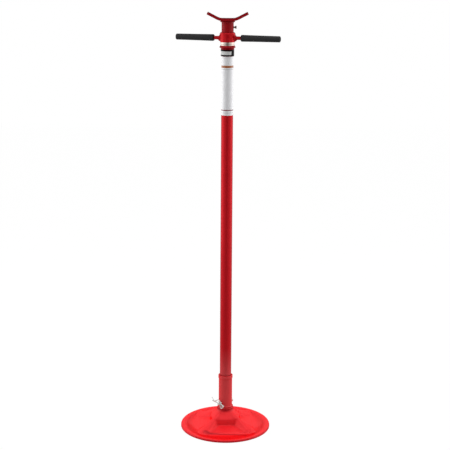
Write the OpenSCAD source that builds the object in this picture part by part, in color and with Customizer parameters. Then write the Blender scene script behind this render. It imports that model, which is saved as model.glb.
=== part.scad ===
// Underhoist stand: a round stamped base, a tube column locked in it by a pin and clip,
// and a screw head with a ball thrust bearing, a spin handle and a cradle saddle.
// Millimetres, +Z up, origin on the floor under the column's axis, saddle wings along X.

/* [Base plate] */
// Outer diameter of the base
base_d = 300; // [270:1:380]
// Thickness of the stamped sheet
sheet_t = 3.5; // [2.5:0.1:4.5]
// Height of the rolled rim above the floor
rim_h = 7.5; // [6:0.1:12]
// Width of the raised bead that runs round the rim
rim_bead_w = 12; // [8:0.5:16]
// Height of the bead above the flat ring inside it
rim_bead_step = 1.1; // [0.5:0.1:2]
// Width of the raised square field in the middle
field_w = 180; // [150:1:184]
// Corner radius of the raised field
field_corner_r = 24; // [18:1:36]
// Height of the step round the raised field
field_step = 2.6; // [1.5:0.1:4]
// How much the pockets rise from the step to the dome's wall
pocket_rise = 10; // [4:0.5:14]
// Angle by which the stamping is turned against the saddle
field_turn = 3.5; // [-10:0.5:10]

/* [Dome and ridges] */
// Height of the dome above the floor where it meets the neck
dome_top_h = 58; // [54:0.5:60]
// Distance from the axis to the dome's shoulder, in the middle of a side
shoulder_r = 48; // [44:0.5:56]
// Height of the shoulder above the floor
shoulder_h = 37.5; // [32:0.5:42]
// Width of the wall under the shoulder, seen from above
wall_run = 3; // [2:0.1:5]
// Height of a ridge above the floor where it meets the neck
ridge_root_h = 59; // [56:0.5:62]
// Height of a ridge above the floor at the corner of the field
ridge_end_h = 17; // [13:0.5:24]
// Half width of a ridge where it meets the neck
ridge_root_w = 9; // [7:0.5:14]
// Half width of a ridge at the corner of the field
ridge_end_w = 26; // [18:0.5:32]
// Length of the nose that drops from a ridge to the flat ring
ridge_nose = 7; // [4:0.5:8]

/* [Neck and socket] */
// Outer diameter of the drawn neck
neck_d = 54; // [52:0.5:60]
// Height of the neck above the floor
neck_h = 67; // [64:0.5:69]
// Rounding at the top of the neck
neck_edge_r = 1; // [0.5:0.1:2]
// Outer diameter of the socket tube
socket_d = 45; // [44:0.5:48]
// Height of the socket's mouth above the floor
socket_h = 181; // [140:1:260]
// Outer diameter of the rolled lip
lip_d = 47.8; // [47:0.1:52]
// Height of the rolled lip
lip_h = 9.5; // [6:0.5:14]
// Thickness of the floor that the column stands on
socket_floor_t = 5; // [3:0.5:8]
// Height of the socket's foot above the shop floor
socket_foot_h = 8; // [6:0.5:10]
// Diameter of the drain hole in the socket's floor
drain_d = 14; // [6:1:20]
// Leg of the weld on top of the neck, outwards
neck_weld_out = 3.5; // [2:0.1:4]
// Leg of the weld on top of the neck, upwards
neck_weld_up = 9; // [3:0.1:9.5]

/* [Column] */
// Outer diameter of the column tube
column_d = 38.1; // [37:0.1:39]
// Wall of the column tube
column_wall = 3; // [2.5:0.1:3]
// Length of the column tube
column_len = 1255; // [1000:1:1500]
// Radial clearance of the column in the socket
column_clear = 0.4; // [0.2:0.05:0.6]

/* [Column cap] */
// Height of the cap above the end of the tube
cap_crown_h = 11.2; // [10:0.1:16]
// Outer diameter of the flange
flange_d = 50; // [48:0.5:56]
// Thickness of the flange at its edge
flange_t = 3.2; // [2:0.1:4]
// Height of the cone between the flange and the bearing
flange_cone_h = 3.7; // [2:0.1:5]
// Outer diameter of the skirt
skirt_d = 42; // [41.4:0.1:44]
// Length of the skirt over the tube
skirt_len = 22; // [16:0.5:30]

/* [Labels] */
// Length of the wrap on the column
wrap_len = 186; // [100:1:240]
// Thickness of the wrap and the header band
film_t = 0.2; // [0.15:0.05:0.4]
// Width of the seam left open at the back
seam_w = 5; // [2:0.5:12]
// Margin between the header band and the ends of the skirt
header_margin = 0.5; // [0.3:0.1:2]

/* [Thrust bearing] */
// Outer diameter of the bearing
bearing_d = 43.8; // [43:0.1:44]
// Bore of the bearing
bearing_bore = 29.8; // [29.2:0.1:30.4]
// Height of the bearing
bearing_h = 10.6; // [10:0.1:13]
// Thickness of the lower race
lower_race_t = 3; // [2.6:0.1:3.4]
// Thickness of the upper race above the balls
upper_race_t = 3.8; // [3:0.1:4]
// Ball diameter
ball_d = 4.4; // [4.2:0.1:4.6]
// Number of balls
ball_count = 16; // [10:1:18]
// Pitch circle of the balls
ball_circle = 35.6; // [35:0.1:36]
// Wall of the dust shroud
shroud_t = 0.9; // [0.6:0.1:1.1]
// Open line between the shroud and the lower race
shroud_gap = 0.8; // [0.4:0.1:1]
// Thickness of the cage
cage_t = 1.6; // [1.2:0.1:2]
// Radial width of the cage
cage_w = 5.7; // [5.4:0.1:5.8]

/* [Spin hub and handle] */
// Largest diameter of the hub
hub_d = 50; // [48:0.5:56]
// Height of the hub
hub_h = 29.9; // [26:0.1:40]
// Diameter of the hub's top face
hub_top_d = 44.4; // [42:0.1:47]
// Height of the bevel below the top face
hub_bevel_h = 4.6; // [3:0.1:6]
// Diameter of the hub's bottom face
hub_foot_d = 47; // [45:0.1:47.5]
// Height of the taper above the bottom face
hub_taper_h = 13; // [8:0.5:14]
// Height of the rods' axis above the hub's foot
rod_h = 12.7; // [11:0.1:16]
// Diameter of the handle rods
rod_d = 11; // [9:0.1:12]
// Distance from the axis to the end of a rod
rod_reach = 168; // [120:1:220]
// Depth of the rod's seat in the hub
rod_seat = 6.5; // [5:0.1:7.5]
// Angle by which the handle is turned at rest
handle_turn = 18; // [0:1:60]
// Leg of the weld collar round each rod
rod_weld = 3.4; // [2:0.1:4]
// How far the web under each rod stands out from the hub
web_out = 7.5; // [6:0.5:10]
// Thickness of the web under each rod
web_t = 6; // [4:0.5:8]
// Diameter of a grip at its middle
grip_d = 20; // [17:0.5:26]
// Swell of a grip at its inner end
grip_swell = 0.5; // [0:0.1:1]
// Bare rod between the web of the hub and the grip
rod_bare = 12; // [2:0.5:40]
// Rubber past the end of the rod
grip_end_t = 4; // [2:0.5:8]
// Rounding at the ends of a grip
grip_edge_r = 3.4; // [1:0.1:3.6]

/* [Screw] */
// Outer diameter of the screw
spindle_d = 28; // [27:0.1:28.4]
// Travel of the screw
lift_travel = 650; // [400:1:800]
// Diameter of the stop collar
collar_d = 31.4; // [30.4:0.1:31.6]
// Height of the stop collar
collar_h = 12; // [10:0.5:20]
// Diameter of the roll pin in the stop collar
roll_pin_d = 5; // [3:0.5:6]
// Wall of the roll pin
roll_pin_wall = 1; // [0.6:0.1:1.2]
// Depth of the groove that the set bolt stands in
groove_depth = 1.4; // [0.8:0.1:2.5]
// Chamfer on the screw's ends
spindle_chamfer = 2; // [1:0.5:4]

/* [Saddle] */
// Width of the saddle from tip to tip along its lower edges
saddle_w = 131.6; // [110:0.1:160]
// Depth of the saddle
saddle_depth = 50; // [44:1:80]
// Thickness of the saddle plate
saddle_t = 7; // [5:0.5:9]
// Half width of the flat in the middle
saddle_flat = 16; // [10:0.5:22]
// Inner radius of the two bends
saddle_bend_r = 36; // [12:1:50]
// Angle of the wings above level
wing_angle = 27; // [15:1:40]
// Corner radius of the wings, seen from above
wing_corner_r = 5; // [2:0.5:12]
// Outer diameter of the sleeve
sleeve_d = 38; // [36:0.5:42]
// Length of the sleeve
sleeve_len = 35.9; // [30:0.1:50]
// Leg of the weld under the plate, outwards
saddle_weld_out = 5.6; // [3:0.1:7]
// Leg of the weld under the plate, downwards
saddle_weld_down = 8; // [4:0.1:10]
// Gap between the sleeve and the hub with the screw right down
rest_gap = 0.4; // [0.3:0.1:2]

/* [Set bolt] */
// Diameter of the set bolt
bolt_d = 6; // [5:0.5:8]
// Width of the bolt's head across the flats
bolt_flats = 10; // [8:0.5:13]
// Thickness of the bolt's head
bolt_head_t = 4.2; // [3:0.1:6]
// Bare shank between the sleeve and the head
bolt_bare = 4.8; // [1:0.1:10]
// Height of the bolt above the foot of the sleeve
bolt_h = 15.5; // [10:0.5:20]

/* [Base pin and clip] */
// Diameter of the base pin
pin_d = 12; // [10:0.5:13]
// Height of the pin's axis above the floor
pin_h = 84.6; // [80:0.1:130]
// Direction of the pin's tip, from +X
pin_turn = 225; // [200:1:250]
// Diameter of the pin's head
pin_head_d = 17; // [15:0.5:22]
// Thickness of the pin's head
pin_head_t = 7; // [4:0.5:10]
// Length of the tip beyond the socket
pin_tip = 11.5; // [10.5:0.5:16]
// Distance from the socket to the clip's hole in the tip
clip_hole_out = 6.4; // [5.9:0.1:8]
// Wire of the clip
wire_d = 3; // [2:0.1:3.4]
// Inner radius of the clip's coil
coil_r = 4; // [3:0.1:6]
// Straight leg from the pin's axis to the coil
leg_in = 16; // [14:0.5:24]
// Straight leg from the pin's axis to its free end
leg_out = 32; // [24:0.5:40]
// Inner radius of the clip's hump over the pin
hump_r = 9; // [8:0.1:11]
// Angle by which the clip's coil hangs below its free end
clip_turn = 4; // [-20:1:30]

/* [Clearances] */
// Radial clearance of a running fit
run_fit = 0.08; // [0.05:0.01:0.1]
// Radial clearance of a seat that doesn't move
seat_fit = 0.05; // [0.02:0.01:0.1]
// Clearance between pieces that pass each other
pass_gap = 0.3; // [0.2:0.05:0.5]

/* [Hidden] */
$fn = 64;
// Overrun of every cut
cut = 1;

paint = "crimson";
zinc = "lightgray";

// Levels, from the floor up
column_foot = socket_foot_h + socket_floor_t;
column_top = column_foot + column_len;
skirt_foot = column_top - skirt_len;
cap_top = column_top + cap_crown_h;
cage_mid = cap_top + (lower_race_t + bearing_h - upper_race_t) / 2;
hub_foot = cap_top + bearing_h;
hub_top = hub_foot + hub_h;
rod_z = hub_foot + rod_h;
sleeve_foot = hub_top + rest_gap;
bolt_z = sleeve_foot + bolt_h;
plate_foot = sleeve_foot + sleeve_len;
spindle_top = plate_foot - pass_gap;
collar_top = column_top - lift_travel - pass_gap;
collar_foot = collar_top - collar_h;
spindle_foot = collar_foot - spindle_chamfer;

// Inner sizes
socket_r = column_d / 2 + column_clear;
neck_r = socket_d / 2 + seat_fit;
spindle_bore = spindle_d / 2 + run_fit;
groove_w = bolt_d + 2 * pass_gap;

// Points of an arc in the plane, from angle a0 to a1
function arc(x, y, r, a0, a1, steps = 6) =
    [for (i = [0 : steps]) [x + r * cos(a0 + (a1 - a0) * i / steps),
        y + r * sin(a0 + (a1 - a0) * i / steps)]];

module bored(r, z0, z1) {
    difference() {
        children();
        translate([0, 0, z0 - cut]) cylinder(r = r, h = z1 - z0 + 2 * cut);
    }
}

module tube(r_out, r_in, z0, z1) {
    bored(r_in, z0, z1) translate([0, 0, z0]) cylinder(r = r_out, h = z1 - z0);
}

// Lays the pin's axis along +X, with the tip pointing away
module on_pin() {
    translate([0, 0, pin_h]) rotate([0, 0, pin_turn]) children();
}

module pin_hole(r_out) {
    on_pin() rotate([0, 90, 0])
        translate([0, 0, -r_out - cut]) cylinder(d = pin_d + 2 * run_fit, h = 2 * (r_out + cut));
}

// Stamped field of the base
// The grid has rings of lines that grow from the neck's circle to the field's rounded
// square. Lines crowd together on the ridges, so each ridge keeps its section as it widens.

// Lines in a pocket, from its middle to the foot of a ridge, and places on a ridge's flank
pocket_lines = 3;
flank_shares = [1, 0.88, 0.74, 0.56, 0.36, 0.18, 0];
half_lines = pocket_lines + len(flank_shares) - 1;
quarter_lines = 2 * half_lines;
ring_lines = 4 * quarter_lines;
// Places of the rings down the dome, down its wall and along a pocket
dome_shares = [0, 0.3, 0.6, 0.85, 1];
wall_shares = [0, 0.2, 0.5, 0.8, 1];
pocket_shares = [0.08, 0.25, 0.45, 0.65, 0.85, 0.95, 1];
// How fast a ridge falls, and how round its section is
ridge_fall = 1.25;
ridge_round = 1.6;
// Depth by which the field runs into the neck and into the rim
field_root = 1.5;
// Width of the step in a pocket, and how far it still stands proud at its foot
step_run = 2.2;
step_foot = 0.3;
// Drop of the field's edge under the rim's flat ring, so that the two meet in the wall
edge_drop = 0.25;
// Width of the flat ring's inner lap for each millimetre of the bead's height
bead_slope = 8;

rim_flat_z = rim_h - rim_bead_step;
rim_in_r = base_d / 2 - rim_bead_w - bead_slope * rim_bead_step;
field_in_r = neck_d / 2 - field_root;
field_out_r = rim_in_r + field_root;
field_z = rim_flat_z + field_step;
corner_reach = field_w / sqrt(2) - field_corner_r * (sqrt(2) - 1);
wall_foot_r = shoulder_r + wall_run;
pocket_len = field_w / 2 - wall_foot_r;
dome_fall = (dome_top_h - shoulder_h) / (shoulder_r - neck_d / 2);
dome_drop = sheet_t * sqrt(1 + pow(dome_fall, 2));
crest_run = corner_reach - field_in_r;
crest_drop = sheet_t * norm([crest_run, ridge_root_h - ridge_end_h]) / crest_run;

// Radius of the rounded square in a direction measured from the middle of a side
function square_r(a) =
    let (m = abs(a), half = field_w / 2, c = half - field_corner_r)
    half * tan(m) <= c ? half / cos(m)
        : c * (cos(m) + sin(m)) + sqrt(pow(field_corner_r, 2) - pow(c * (cos(m) - sin(m)), 2));

// Angle from the middle of a pocket to line j, on the ring whose corner lies at radius r
function line_angle(j, r, share) =
    let (w = ridge_root_w + (ridge_end_w - ridge_root_w) * share, spread = asin(w / r))
    j <= pocket_lines ? (45 - spread) * j / pocket_lines
        : 45 - spread * flank_shares[j - pocket_lines];

// Section of a ridge: 0 in the pocket, 1 on the crest
function ridge_rise(j) =
    j <= pocket_lines ? 0 : cos(90 * pow(flank_shares[j - pocket_lines], ridge_round));

// Places of the rings in the middle of a side, each [radius, top, underside]
function dome_place(share) =
    let (r = field_in_r + (shoulder_r - sheet_t - field_in_r) * share,
        z = shoulder_h + dome_fall * (shoulder_r - r))
    [r, z, z - dome_drop];
function wall_place(share) =
    let (foot = field_z + pocket_rise)
    [shoulder_r + wall_run * share, foot + (shoulder_h - foot) * (1 + cos(180 * share)) / 2,
        foot - sheet_t];
function pocket_place(share) =
    let (z = field_z + pocket_rise * (1 - share))
    [wall_foot_r + pocket_len * share, z, z - sheet_t];

function crest_z(share) =
    ridge_end_h + (ridge_root_h - ridge_end_h) * pow(1 - share, ridge_fall);

function polar(r, a, z) = [r * cos(a), r * sin(a), z];

// Line number within its half quarter, and the direction of the line
function fold(i) = let (m = i % quarter_lines) m <= half_lines ? m : quarter_lines - m;
function line_dir(i, a) =
    90 * floor(i / quarter_lines) + (i % quarter_lines <= half_lines ? a : 90 - a);

// One ring inside the step, each point [radius, direction, top, underside]
function field_ring(place) =
    let (share = (place[0] - field_in_r) / (field_w / 2 - field_in_r), crest = crest_z(share),
        rc = field_in_r + crest_run * share)
    [for (i = [0 : ring_lines - 1])
        let (j = fold(i), a = line_angle(j, rc, share), rise = ridge_rise(j))
        [field_in_r + (square_r(a) - field_in_r) * share, line_dir(i, a),
            place[1] + (crest - place[1]) * rise,
            place[2] + (crest - crest_drop - place[2]) * rise]];

// The foot of the step, and the edge that runs into the rim
function foot_ring() =
    let (z = rim_flat_z - edge_drop + step_foot)
    [for (i = [0 : ring_lines - 1])
        let (j = fold(i), a = line_angle(j, corner_reach, 1))
        [square_r(a) + step_run + (ridge_nose - step_run) * ridge_rise(j), line_dir(i, a),
            z, z - sheet_t]];
function edge_ring() =
    let (z = rim_flat_z - edge_drop)
    [for (i = [0 : ring_lines - 1])
        [field_out_r, line_dir(i, line_angle(fold(i), corner_reach, 1)), z, z - sheet_t]];

function quad(p, q, r, s) = [[p, q, r], [p, r, s]];
function flat(lists) = [for (l = lists) for (v = l) v];

module stamped_field() {
    places = concat([for (s = dome_shares) dome_place(s)], [for (s = wall_shares) wall_place(s)],
        [for (s = pocket_shares) pocket_place(s)]);
    rings = concat([for (p = places) field_ring(p)], [foot_ring(), edge_ring()]);
    top = [for (p = flat(rings)) polar(p[0], p[1], p[2])];
    under = [for (p = flat(rings)) polar(p[0], p[1], p[3])];
    n = ring_lines;
    k = len(rings);
    b = k * n;
    faces = flat([for (i = [0 : n - 1]) let (e = (i + 1) % n) flat(concat(
        [for (m = [0 : k - 2]) quad(m * n + i, m * n + e, (m + 1) * n + e, (m + 1) * n + i)],
        [for (m = [0 : k - 2])
            quad(b + m * n + i, b + (m + 1) * n + i, b + (m + 1) * n + e, b + m * n + e)],
        [quad(i, b + i, b + e, e)],
        [quad((k - 1) * n + i, (k - 1) * n + e, b + (k - 1) * n + e, b + (k - 1) * n + i)]))]);
    polyhedron(points = concat(top, under), faces = faces);
}

// Rolled rim, which stands on the floor
module rim() {
    r = base_d / 2;
    rotate_extrude() polygon(concat(
        [[r - sheet_t, 0], [r, 0]],
        arc(r - sheet_t, rim_h - sheet_t, sheet_t, 0, 90),
        [[r - rim_bead_w + rim_bead_step, rim_h], [r - rim_bead_w - rim_bead_step, rim_flat_z],
            [rim_in_r, rim_flat_z], [rim_in_r, rim_h - sheet_t - rim_bead_step],
            [r - 2 * sheet_t, rim_h - sheet_t - rim_bead_step]]));
}

module neck() {
    r = neck_d / 2;
    rotate_extrude() polygon(concat(
        [[neck_r, socket_foot_h - rim_bead_step], [r, socket_foot_h - rim_bead_step]],
        arc(r - neck_edge_r, neck_h - neck_edge_r, neck_edge_r, 0, 90),
        [[neck_r, neck_h]]));
}

module base_plate() {
    color(paint) rotate([0, 0, field_turn]) {
        stamped_field();
        rim();
        neck();
    }
}

module base_socket() {
    r = socket_d / 2;
    lip = lip_d / 2;
    roll = lip - r;
    color(paint) difference() {
        rotate_extrude() polygon(concat(
            [[drain_d / 2, socket_foot_h], [r, socket_foot_h], [r, neck_h],
                [r + neck_weld_out, neck_h], [r, neck_h + neck_weld_up],
                [r, socket_h - lip_h - roll], [lip, socket_h - lip_h]],
            arc(lip - roll, socket_h - roll, roll, 0, 90),
            [[socket_r + roll / 2, socket_h], [socket_r, socket_h - roll / 2],
                [socket_r, column_foot], [drain_d / 2, column_foot]]));
        pin_hole(lip);
    }
}

module column_tube() {
    color(paint) difference() {
        tube(column_d / 2, column_d / 2 - column_wall, column_foot, column_top);
        pin_hole(column_d / 2);
    }
}

module column_cap() {
    skirt = skirt_d / 2;
    flange = flange_d / 2;
    flange_foot = cap_top - flange_cone_h - flange_t;
    in_r = column_d / 2 + seat_fit;
    color(paint) rotate_extrude() polygon([
        [in_r, skirt_foot], [skirt, skirt_foot], [skirt, flange_foot], [flange, flange_foot],
        [flange, flange_foot + flange_t], [bearing_d / 2, cap_top],
        [spindle_bore + pass_gap, cap_top], [spindle_bore + pass_gap, column_top],
        [in_r, column_top]]);
}

// A film round a tube, open along a seam at the back
module film(r, z0, z1) {
    difference() {
        tube(r + seat_fit + film_t, r + seat_fit, z0, z1);
        translate([-seam_w / 2, 0, z0 - cut]) cube([seam_w, 2 * r, z1 - z0 + 2 * cut]);
    }
}

module header_label() {
    flange_foot = cap_top - flange_cone_h - flange_t;
    color("black") film(skirt_d / 2, skirt_foot + header_margin, flange_foot - header_margin);
}

module label_wrap() {
    color("white") film(column_d / 2, skirt_foot - header_margin - wrap_len,
        skirt_foot - header_margin);
}

// Thrust bearing
ball_track = ball_d / 2 + seat_fit;
cage_in_r = ball_circle / 2 - cage_w / 2;

module track() {
    translate([0, 0, cage_mid]) rotate_extrude()
        translate([ball_circle / 2, 0]) circle(r = ball_track);
}

module bearing_lower_race() {
    color(zinc) difference() {
        tube(bearing_d / 2, bearing_bore / 2, cap_top, cap_top + lower_race_t);
        track();
    }
}

module bearing_upper_race() {
    r = bearing_d / 2;
    race_foot = hub_foot - upper_race_t;
    color(zinc) difference() {
        rotate_extrude() polygon([
            [bearing_bore / 2, race_foot], [r - shroud_t, race_foot],
            [r - shroud_t, cap_top + lower_race_t + shroud_gap],
            [r, cap_top + lower_race_t + shroud_gap], [r, hub_foot],
            [bearing_bore / 2, hub_foot]]);
        track();
    }
}

module around_balls() {
    for (i = [0 : ball_count - 1])
        rotate([0, 0, 360 * i / ball_count]) translate([ball_circle / 2, 0, cage_mid]) children();
}

module bearing_cage() {
    color("goldenrod") difference() {
        tube(cage_in_r + cage_w, cage_in_r, cage_mid - cage_t / 2, cage_mid + cage_t / 2);
        around_balls() cylinder(r = ball_track, h = 2 * cage_t, center = true);
    }
}

module bearing_balls() {
    color(zinc) around_balls() sphere(d = ball_d);
}

// Spin handle, with its rods along the turned X axis
module on_rod(side) {
    translate([0, 0, rod_z]) rotate([0, 0, -handle_turn + (side > 0 ? 0 : 180)])
        rotate([0, 90, 0]) children();
}

rod_root = hub_d / 2 - rod_seat;

module rod_web() {
    r = hub_foot_d / 2 - rod_weld;
    drop = hub_foot - rod_z;
    translate([0, 0, rod_z]) rotate([90, 0, 0]) linear_extrude(web_t, center = true)
        polygon(concat([[r, 0], [hub_d / 2 + web_out, 0], [hub_d / 2 + web_out, -rod_d / 2]],
            arc(hub_d / 2 + web_out, drop + rod_d / 4, -drop - rod_d * 3 / 4, 90, 180),
            [[r, drop + rod_d / 4]]));
}

module spin_hub() {
    r = hub_d / 2;
    color(paint) difference() {
        union() {
            rotate_extrude() polygon([
                [spindle_bore, hub_foot], [hub_foot_d / 2, hub_foot], [r, hub_foot + hub_taper_h],
                [r, hub_top - hub_bevel_h], [hub_top_d / 2, hub_top], [spindle_bore, hub_top]]);
            for (side = [-1, 1]) {
                on_rod(side) translate([0, 0, rod_root])
                    cylinder(r1 = rod_d / 2 + 2 * rod_weld, r2 = rod_d / 2, h = rod_seat + rod_weld);
                rotate([0, 0, -handle_turn + (side > 0 ? 0 : 180)]) rod_web();
            }
        }
        for (side = [-1, 1])
            on_rod(side) translate([0, 0, rod_root]) cylinder(r = rod_d / 2 + seat_fit, h = hub_d);
        translate([0, 0, hub_foot - cut]) cylinder(r = spindle_bore, h = hub_h + 2 * cut);
    }
}

module handle_rod(side) {
    color(paint) on_rod(side) translate([0, 0, rod_root]) cylinder(d = rod_d, h = rod_reach - rod_root);
}

module handle_rod_left() { handle_rod(-1); }
module handle_rod_right() { handle_rod(1); }

module grip(side) {
    z1 = rod_reach + grip_end_t;
    z0 = hub_d / 2 + web_out + rod_bare;
    r = grip_d / 2;
    in_r = rod_d / 2 + seat_fit;
    e = grip_edge_r;
    color("dimgray") on_rod(side) rotate_extrude() polygon(concat(
        [[in_r, z0]],
        arc(r + grip_swell - e, z0 + e, e, -90, 0),
        [[r, z0 + (z1 - z0) / 3]],
        arc(r - grip_swell - e, z1 - e, e, 0, 90),
        [[0, z1], [0, rod_reach + seat_fit], [in_r, rod_reach + seat_fit]]));
}

module grip_left() { grip(-1); }
module grip_right() { grip(1); }

// Screw
module roll_pin_hole() {
    translate([0, 0, collar_foot + collar_h / 2]) rotate([90, 0, 0])
        cylinder(d = roll_pin_d + 2 * seat_fit, h = collar_d + 2 * cut, center = true);
}

module spindle() {
    r = spindle_d / 2;
    c = spindle_chamfer;
    color(zinc) difference() {
        rotate_extrude() polygon([
            [0, spindle_foot], [r - c, spindle_foot], [r, spindle_foot + c],
            [r, bolt_z - groove_w / 2], [r - groove_depth, bolt_z - groove_w / 2],
            [r - groove_depth, bolt_z + groove_w / 2], [r, bolt_z + groove_w / 2],
            [r, spindle_top - c], [r - c, spindle_top], [0, spindle_top]]);
        roll_pin_hole();
    }
}

module stop_collar() {
    color(zinc) difference() {
        tube(collar_d / 2, spindle_d / 2 + seat_fit, collar_foot, collar_top);
        roll_pin_hole();
    }
}

module stop_pin() {
    r = roll_pin_d / 2;
    reach = sqrt(pow(collar_d / 2, 2) - pow(r, 2));
    color("dimgray") translate([0, 0, collar_foot + collar_h / 2]) rotate([90, 0, 0])
        translate([0, 0, -reach]) difference() {
            cylinder(r = r, h = 2 * reach);
            translate([0, 0, -cut]) cylinder(r = r - roll_pin_wall, h = 2 * (reach + cut));
        }
}

// Saddle
// Outline of the plate seen from above, which runs past the wings' square ends
module saddle_plan() {
    corner = arc(saddle_w / 2 + cut - wing_corner_r, saddle_depth / 2 - wing_corner_r,
        wing_corner_r, 0, 90);
    n = len(corner);
    polygon(concat(corner, [for (i = [n - 1 : -1 : 0]) [-corner[i][0], corner[i][1]]],
        [for (p = corner) -p], [for (i = [n - 1 : -1 : 0]) [corner[i][0], -corner[i][1]]]));
}

// Outline of the plate seen from the front: a flat, two bends and two straight wings
bend_steps = 9;
function saddle_right() =
    let (bend_out = saddle_bend_r + saddle_t, low = wing_angle - 90,
        under = arc(saddle_flat, bend_out, bend_out, -90, low, bend_steps),
        over = arc(saddle_flat, bend_out, saddle_bend_r, low, -90, bend_steps),
        wing_len = (saddle_w / 2 - under[bend_steps][0]) / cos(wing_angle),
        reach = wing_len * [cos(wing_angle), sin(wing_angle)])
    concat(under, [under[bend_steps] + reach, over[0] + reach], over);

module saddle_section() {
    right = saddle_right();
    n = len(right);
    polygon(concat(right, [for (i = [n - 1 : -1 : 0]) [-right[i][0], right[i][1]]]));
}

module saddle_plate() {
    color(paint) intersection() {
        translate([0, 0, plate_foot]) rotate([90, 0, 0])
            linear_extrude(saddle_depth + 2 * cut, center = true) saddle_section();
        translate([0, 0, plate_foot - cut]) linear_extrude(saddle_w) saddle_plan();
    }
}

module saddle_sleeve() {
    r = sleeve_d / 2;
    weld_steps = 6;
    color(paint) difference() {
        rotate_extrude() polygon(concat(
            [[spindle_bore, sleeve_foot], [r, sleeve_foot], [r, plate_foot - saddle_weld_down]],
            [for (i = [1 : weld_steps - 1]) let (a = 90 * i / weld_steps)
                [r + saddle_weld_out * (1 - cos(a)), plate_foot - saddle_weld_down * (1 - sin(a))]],
            [[r + saddle_weld_out, plate_foot], [spindle_bore, plate_foot]]));
        translate([0, 0, bolt_z]) rotate([0, 90, 0])
            cylinder(d = bolt_d + 2 * run_fit, h = sleeve_d);
    }
}

module set_bolt() {
    tip_x = spindle_d / 2 - groove_depth + pass_gap;
    head_x = sleeve_d / 2 + bolt_bare;
    color("dimgray") translate([0, 0, bolt_z]) rotate([0, 90, 0]) {
        translate([0, 0, tip_x]) cylinder(d = bolt_d, h = head_x - tip_x);
        translate([0, 0, head_x]) intersection() {
            cylinder(d = bolt_flats / cos(30), h = bolt_head_t, $fn = 6);
            cylinder(r1 = bolt_flats, r2 = bolt_flats / 2, h = bolt_head_t + bolt_flats / 20);
        }
    }
}

// Base pin, along its own axis
pin_seat = socket_d / 2 + pass_gap;
pin_end = socket_d / 2 + pin_tip;
clip_at = socket_d / 2 + clip_hole_out;

module base_pin() {
    r = pin_d / 2;
    head = pin_head_d / 2;
    e = pin_head_t / 4;
    color(zinc) on_pin() difference() {
        rotate([0, 90, 0]) rotate_extrude() polygon(concat(
            [[0, -pin_seat - pin_head_t]],
            arc(head - e, -pin_seat - pin_head_t + e, e, -90, 0),
            [[head, -pin_seat], [r, -pin_seat], [r, pin_end - r / 3], [r * 2 / 3, pin_end],
                [0, pin_end]]));
        translate([clip_at, 0, 0]) rotate([90 - clip_turn, 0, 0])
            cylinder(d = wire_d + 2 * pass_gap, h = 2 * pin_d, center = true);
    }
}

// Wire clip
// Each step of its path is [length, 0, rise] or [radius, angle, rise]: left turns are
// positive, and the rise lifts the wire out of its plane, so that the coil clears itself.
wire_sides = 10;
turn_step = 18;
coil_mid = coil_r + wire_d / 2;
hump_mid = hump_r + wire_d / 2;
coil_turns = 1.75;
coil_rise = (wire_d + pass_gap) * coil_turns;
// Turns of the hump and of the free end, and the lengths of the legs between and behind them
hump_turn = 125;
tail_turn = 75;
tail_shares = [0.9, 0.75];
clip_steps = [[leg_out + leg_in, 0, 0], [coil_mid, -360 * coil_turns, coil_rise], [hump_r, 0, 0],
    [hump_mid, hump_turn, -coil_rise / 2], [leg_in * tail_shares[0], 0, 0],
    [coil_mid, -tail_turn, 0], [leg_in * tail_shares[1], 0, 0]];

// Stations along the path, each [x, y, z, heading]
function step_on(at, s, share) =
    let (side = s[1] < 0 ? -1 : 1, a = abs(s[1]) * share, h = at[3],
        dx = a == 0 ? s[0] * share : s[0] * sin(a), dy = side * s[0] * (1 - cos(a)) * (a == 0 ? 0 : 1))
    [at[0] + dx * cos(h) - dy * sin(h), at[1] + dx * sin(h) + dy * cos(h),
        at[2] + s[2] * share, h + side * a];
function walk(steps, at = [0, 0, 0, 0], i = 0) =
    i >= len(steps) ? [at]
        : let (n = max(1, ceil(abs(steps[i][1]) / turn_step)))
            concat([for (m = [0 : n - 1]) step_on(at, steps[i], m / n)],
                walk(steps, step_on(at, steps[i], 1), i + 1));

// Tube of round section swept along the stations
module swept_wire(stations, r, sides) {
    n = len(stations);
    points = flat([for (s = stations) [for (m = [0 : sides - 1]) let (a = 360 * m / sides)
        [s[0] - r * cos(a) * sin(s[3]), s[1] + r * cos(a) * cos(s[3]), s[2] + r * sin(a)]]]);
    walls = flat([for (i = [0 : n - 2]) for (m = [0 : sides - 1]) let (e = (m + 1) % sides)
        quad(i * sides + m, i * sides + e, (i + 1) * sides + e, (i + 1) * sides + m)]);
    ends = [[for (m = [sides - 1 : -1 : 0]) m], [for (m = [0 : sides - 1]) (n - 1) * sides + m]];
    polyhedron(points = points, faces = concat(walls, ends));
}

module hairpin_clip() {
    color(zinc) on_pin() translate([clip_at, 0, 0]) rotate([90, 0, 90])
        rotate([0, 0, -clip_turn]) translate([-leg_out, 0, 0])
            swept_wire(walk(clip_steps), wire_d / 2, wire_sides);
}

base_plate();
base_socket();
column_tube();
column_cap();
header_label();
label_wrap();
bearing_lower_race();
bearing_cage();
bearing_balls();
bearing_upper_race();
spin_hub();
handle_rod_left();
handle_rod_right();
grip_left();
grip_right();
spindle();
stop_collar();
stop_pin();
saddle_plate();
saddle_sleeve();
set_bolt();
base_pin();
hairpin_clip();
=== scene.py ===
"""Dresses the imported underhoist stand: finishes for its CAD nodes, finer pieces and the studio."""

from math import pi, radians, tan

import bpy
from bpy.props import FloatProperty, FloatVectorProperty, PointerProperty
from mathutils import Matrix, Vector


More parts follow.
